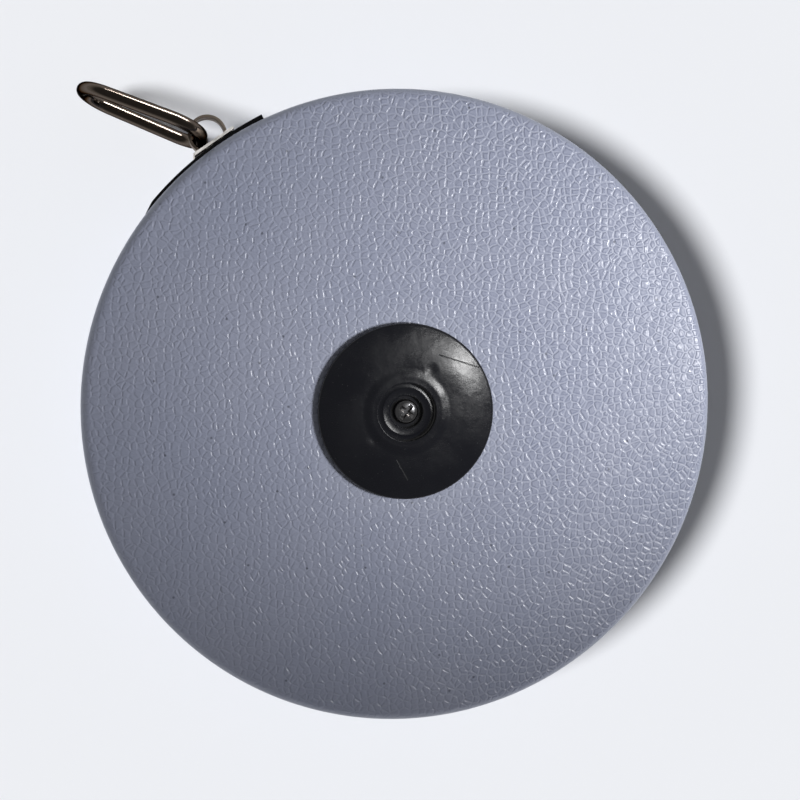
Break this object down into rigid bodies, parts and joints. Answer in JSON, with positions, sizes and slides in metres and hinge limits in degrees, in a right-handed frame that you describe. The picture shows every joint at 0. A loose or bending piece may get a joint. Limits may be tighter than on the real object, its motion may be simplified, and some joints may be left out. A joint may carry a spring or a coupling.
{
  "type": "closed-case fiberglass measuring tape",
  "caption": "Round closed-case measuring tape: moulded shells, reel with hub cap and fold-flat winding crank, mouth frame, and a tape end clip with a pull ring.",
  "frame": {"origin": "on the reel's axis, in the plane of the hub disc's and folded crank's outer faces, on which the tape rests", "axes": "+Z up through the hub cap on the case's back, +X to the right and +Y up as the picture shows the case, so the mouth and pull ring are towards -X +Y"},
  "size_m": [0.1445, 0.1454, 0.0344],
  "materials": {
    "case_plastic": "moulded vinyl-like plastic with a leather grain, blue-grey, low sheen",
    "black_plastic": "satin black moulded plastic, lightly scuffed",
    "reel_plastic": "plain dark grey moulded plastic",
    "tape": "yellow vinyl-coated glass-fibre tape",
    "nickel": "polished nickel plating over steel",
    "steel": "zinc-plated steel"
  },
  "bodies": {
    "case": {"back_shell": "case_plastic", "front_shell": "case_plastic", "mouth_frame": "black_plastic", "back_bearing_ring": "reel_plastic", "front_bearing_ring": "reel_plastic", "case_screw_1": "steel", "case_screw_2": "steel", "case_screw_3": "steel", "case_screw_4": "steel"},
    "reel": {"reel_core": "reel_plastic", "reel_plate": "reel_plastic", "tape_pack": "tape", "tape_anchor": "steel", "crank_disc": "black_plastic", "back_cap": "black_plastic", "hub_screw": "steel", "crank_pin": "steel"},
    "crank": {"crank_arm": "black_plastic", "knob_rivet": "steel"},
    "knob": {"crank_knob": "black_plastic"},
    "tape_end": {"tape_lead": "tape", "end_clip": "nickel", "end_rivet_1": "steel", "end_rivet_2": "steel"},
    "ring": {"pull_ring": "nickel"}
  },
  "joints": [
    {"name": "reel_turn", "type": "hinge", "parent": "case", "child": "reel", "pos_m": [0, 0, 0], "axis": [0, 0, 1], "range_deg": [0, 27.5]},
    {"name": "crank_fold", "type": "hinge", "parent": "reel", "child": "crank", "pos_m": [-0.0155, 0, 0.0017], "axis": [0, 1, 0], "range_deg": [0, 180]},
    {"name": "knob_spin", "type": "hinge", "parent": "crank", "child": "knob", "pos_m": [0.0105, 0, 0.0017], "axis": [0, 0, 1], "continuous": true},
    {"name": "tape_pull", "type": "slide", "parent": "case", "child": "tape_end", "axis": [-0.9974, -0.0716, 0], "range_m": [0, 0.03]},
    {"name": "ring_swing", "type": "hinge", "parent": "tape_end", "child": "ring", "pos_m": [-0.04477, 0.06133, 0.0172], "axis": [0, 0, 1], "range_deg": [-105, 35]}
  ],
  "couplings": [
    {"joint": "tape_pull", "follows": "reel_turn", "m_per_rad": 0.0624}
  ]
}
